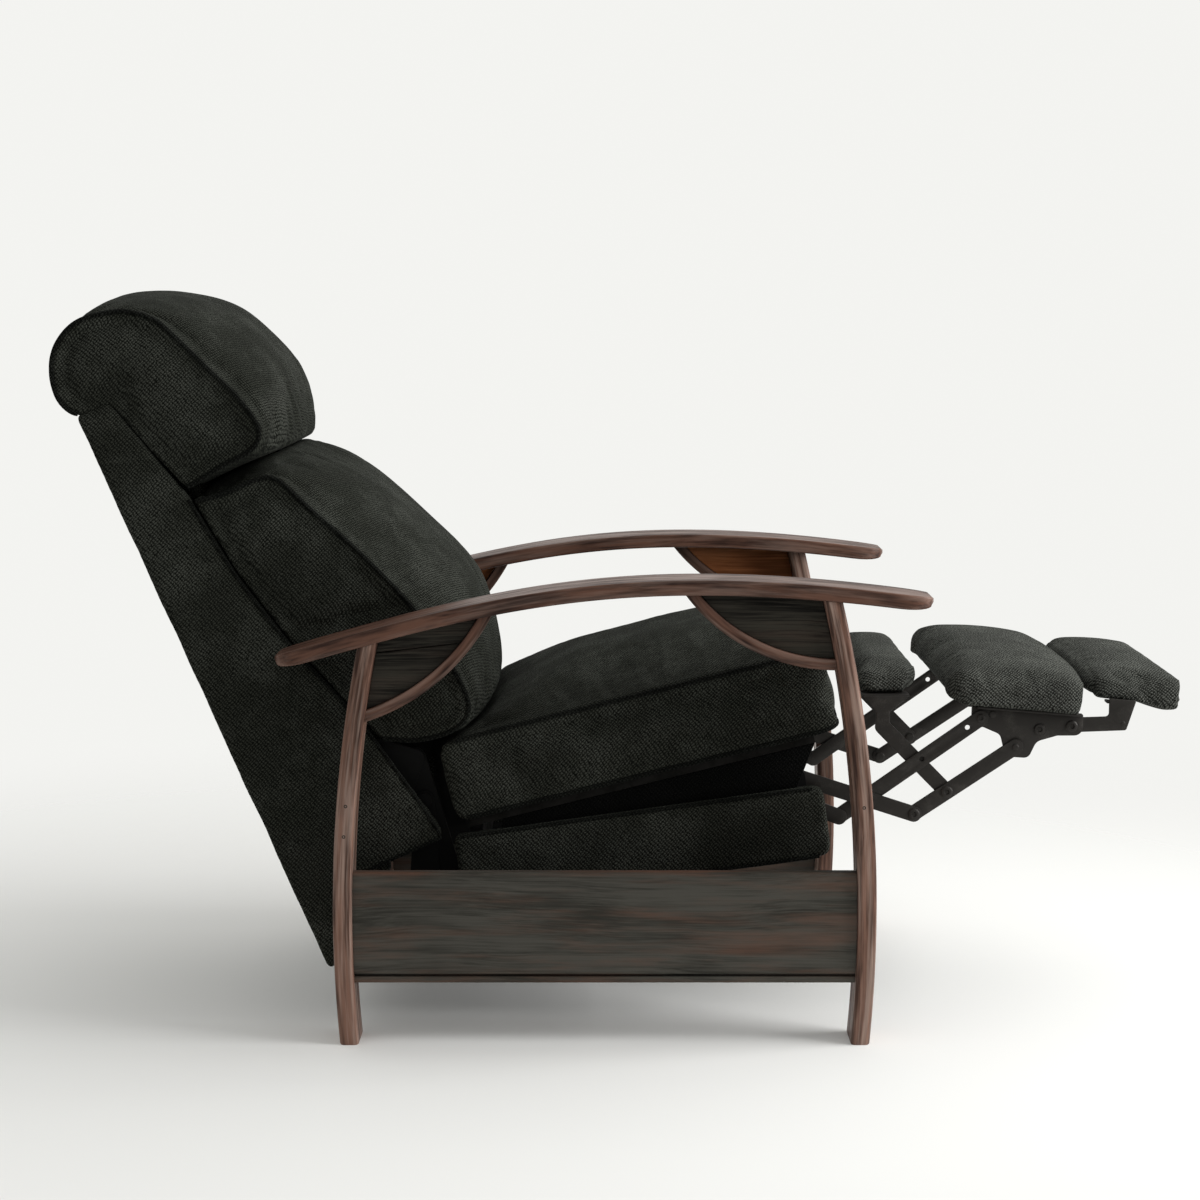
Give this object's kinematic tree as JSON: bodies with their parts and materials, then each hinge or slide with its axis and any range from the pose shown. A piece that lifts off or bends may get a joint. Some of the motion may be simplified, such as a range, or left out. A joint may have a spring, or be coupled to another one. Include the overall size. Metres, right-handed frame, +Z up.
{
  "type": "bow-arm push-back recliner",
  "caption": "Upholstered push-back recliner with bent bow arms, open wooden side frames and curved corbels, shown reclined with a folding three-pad footrest out on a steel scissor linkage.",
  "frame": {"origin": "on the floor, midway along the overall length and on the centre plane of the chair, as it is pictured: reclined, footrest out", "axes": "+X from the back towards the feet, +Y to the left of a sitter, +Z up"},
  "size_m": [1.5756, 0.75, 1.0201],
  "materials": {
    "wood": "worn grey-brown stain with a reddish grain, satin",
    "dark_wood": "charcoal-brown stain, matt, grain along the panel",
    "raw_wood": "plain unfinished wood, out of sight",
    "fabric": "near-black charcoal twill with welted seams",
    "steel": "dark satin paint"
  },
  "bodies": {
    "frame": {"right_arm": "wood", "left_arm": "wood", "right_front_leg": "wood", "left_front_leg": "wood", "right_rear_leg": "wood", "left_rear_leg": "wood", "right_side_panel": "dark_wood", "left_side_panel": "dark_wood", "right_front_corbel_panel": "dark_wood", "left_front_corbel_panel": "dark_wood", "right_rear_corbel_panel": "dark_wood", "left_rear_corbel_panel": "dark_wood", "right_front_corbel_rim": "wood", "left_front_corbel_rim": "wood", "right_rear_corbel_rim": "wood", "left_rear_corbel_rim": "wood", "front_cross_rail": "raw_wood", "rear_cross_rail": "raw_wood", "right_base_rail": "steel", "left_base_rail": "steel"},
    "seat": {"right_seat_rail": "fabric", "left_seat_rail": "fabric", "rear_seat_rail": "raw_wood", "seat_deck": "dark_wood", "seat_cushion": "fabric", "right_seat_plate": "steel", "left_seat_plate": "steel", "torque_tube": "steel"},
    "back": {"right_back_wing": "fabric", "left_back_wing": "fabric", "back_panel": "fabric", "back_cushion": "fabric", "head_cushion": "fabric", "right_back_bracket": "steel", "left_back_bracket": "steel"},
    "recline_links": {"right_recline_link": "steel", "left_recline_link": "steel"},
    "lower_links": {"right_lower_link": "steel", "left_lower_link": "steel"},
    "cranks": {"right_crank": "steel", "left_crank": "steel"},
    "carriers": {"right_carrier_link": "steel", "left_carrier_link": "steel"},
    "cross_links": {"right_cross_link": "steel", "left_cross_link": "steel", "middle_board": "fabric", "middle_pad": "fabric"},
    "footrest": {"right_footrest_bracket": "steel", "left_footrest_bracket": "steel", "footrest_board": "fabric", "footrest_pad": "fabric"},
    "long_links": {"right_long_link": "steel", "left_long_link": "steel"},
    "toe_flap": {"right_toe_arm": "steel", "left_toe_arm": "steel", "toe_board": "fabric", "toe_pad": "fabric"}
  },
  "joints": [
    {"name": "back_recline", "type": "hinge", "parent": "seat", "child": "back", "pos_m": [-0.281, 0, 0.376], "axis": [0, 1, 0], "range_deg": [0, 9.5]},
    {"name": "seat_tilt", "type": "hinge", "parent": "frame", "child": "seat", "pos_m": [-0.059, 0, 0.232], "axis": [0, 1, 0], "range_deg": [-0.5, 5.5]},
    {"name": "recline_link_swing", "type": "hinge", "parent": "frame", "child": "recline_links", "pos_m": [-0.26901, 0, 0.31534], "axis": [0, 1, 0], "range_deg": [-0.5, 36.74]},
    {"name": "footrest_fold", "type": "hinge", "parent": "seat", "child": "lower_links", "pos_m": [0.25032, 0, 0.3485], "axis": [0, 1, 0], "range_deg": [0, 104.3]},
    {"name": "crank_swing", "type": "hinge", "parent": "seat", "child": "cranks", "pos_m": [0.19082, 0, 0.3358], "axis": [0, 1, 0], "range_deg": [-0.5, 99.2]},
    {"name": "carrier_fold", "type": "hinge", "parent": "lower_links", "child": "carriers", "pos_m": [0.41802, 0, 0.294], "axis": [0, 1, 0], "range_deg": [-103, 0.5]},
    {"name": "cross_link_fold", "type": "hinge", "parent": "carriers", "child": "cross_links", "pos_m": [0.4644, 0, 0.32503], "axis": [0, 1, 0], "range_deg": [-0.5, 66.7]},
    {"name": "footrest_turn", "type": "hinge", "parent": "carriers", "child": "footrest", "pos_m": [0.56002, 0, 0.389], "axis": [0, 1, 0], "range_deg": [-0.5, 84.7]},
    {"name": "long_link_turn", "type": "hinge", "parent": "footrest", "child": "long_links", "pos_m": [0.51102, 0, 0.43], "axis": [0, 1, 0], "range_deg": [-80.7, 0.5]},
    {"name": "toe_flap_unfold", "type": "hinge", "parent": "footrest", "child": "toe_flap", "pos_m": [0.63902, 0, 0.418], "axis": [0, 1, 0], "range_deg": [-0.5, 174.5]}
  ],
  "couplings": [
    {"joint": "seat_tilt", "follows": "back_recline", "ratio": 0.52632},
    {"joint": "recline_link_swing", "follows": "back_recline", "ratio": 3.8153},
    {"joint": "crank_swing", "follows": "footrest_fold", "ratio": 0.94631},
    {"joint": "carrier_fold", "follows": "footrest_fold", "ratio": -0.98274},
    {"joint": "cross_link_fold", "follows": "footrest_fold", "ratio": 0.63471},
    {"joint": "footrest_turn", "follows": "footrest_fold", "ratio": 0.80729},
    {"joint": "long_link_turn", "follows": "footrest_fold", "ratio": -0.76894},
    {"joint": "toe_flap_unfold", "follows": "footrest_fold", "ratio": 1.6683}
  ]
}
